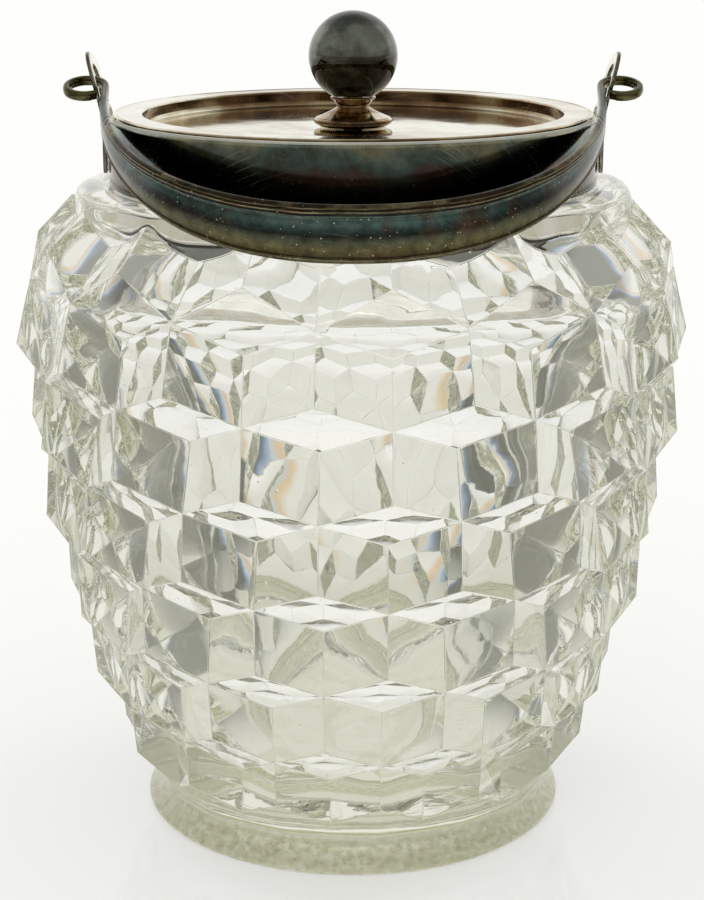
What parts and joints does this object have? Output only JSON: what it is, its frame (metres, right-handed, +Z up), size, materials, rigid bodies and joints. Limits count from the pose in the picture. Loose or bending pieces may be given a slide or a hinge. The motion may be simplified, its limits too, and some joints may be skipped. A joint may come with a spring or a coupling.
{
  "type": "biscuit barrel",
  "caption": "Clear glass biscuit jar moulded all over in raised tumbling cubes, with a tarnished silver-plated collar, a strap handle swinging on ears, and a flat lift-off lid with a ball knob.",
  "frame": {"origin": "centre of the jar's foot, on the surface it stands on", "axes": "+Z up along the jar's axis; the handle rests folded towards -Y, the front; its ears stand at -X and +X"},
  "size_m": [0.1512, 0.152, 0.1846],
  "materials": {
    "glass": "clear moulded glass with fire-polished edges, small bubbles and a faint olive tint in the foot",
    "silver_plate": "silver plate gone dark, with teal and brown tarnish, fine scratches and specks",
    "plaster": "dry off-white plaster",
    "brass": "dull turned brass"
  },
  "bodies": {
    "root": {"glass_jar": "glass", "plaster_bed": "plaster", "collar": "silver_plate", "left_ear": "silver_plate", "right_ear": "silver_plate"},
    "bail": {"bail_handle": "silver_plate"},
    "lid": {"lid_cover": "silver_plate", "lid_skirt": "silver_plate", "knob_ball": "silver_plate", "knob_foot": "silver_plate", "knob_stud": "brass", "knob_washer": "brass", "knob_nut": "brass"}
  },
  "joints": [
    {"name": "bail_swing", "type": "hinge", "parent": "root", "child": "bail", "pos_m": [0, 0, 0.1692], "axis": [-1, 0, 0], "range_deg": [0, 216.2]},
    {"name": "lid_lift", "type": "slide", "parent": "root", "child": "lid", "axis": [0, 0, 1], "range_m": [0, 0.06]}
  ]
}
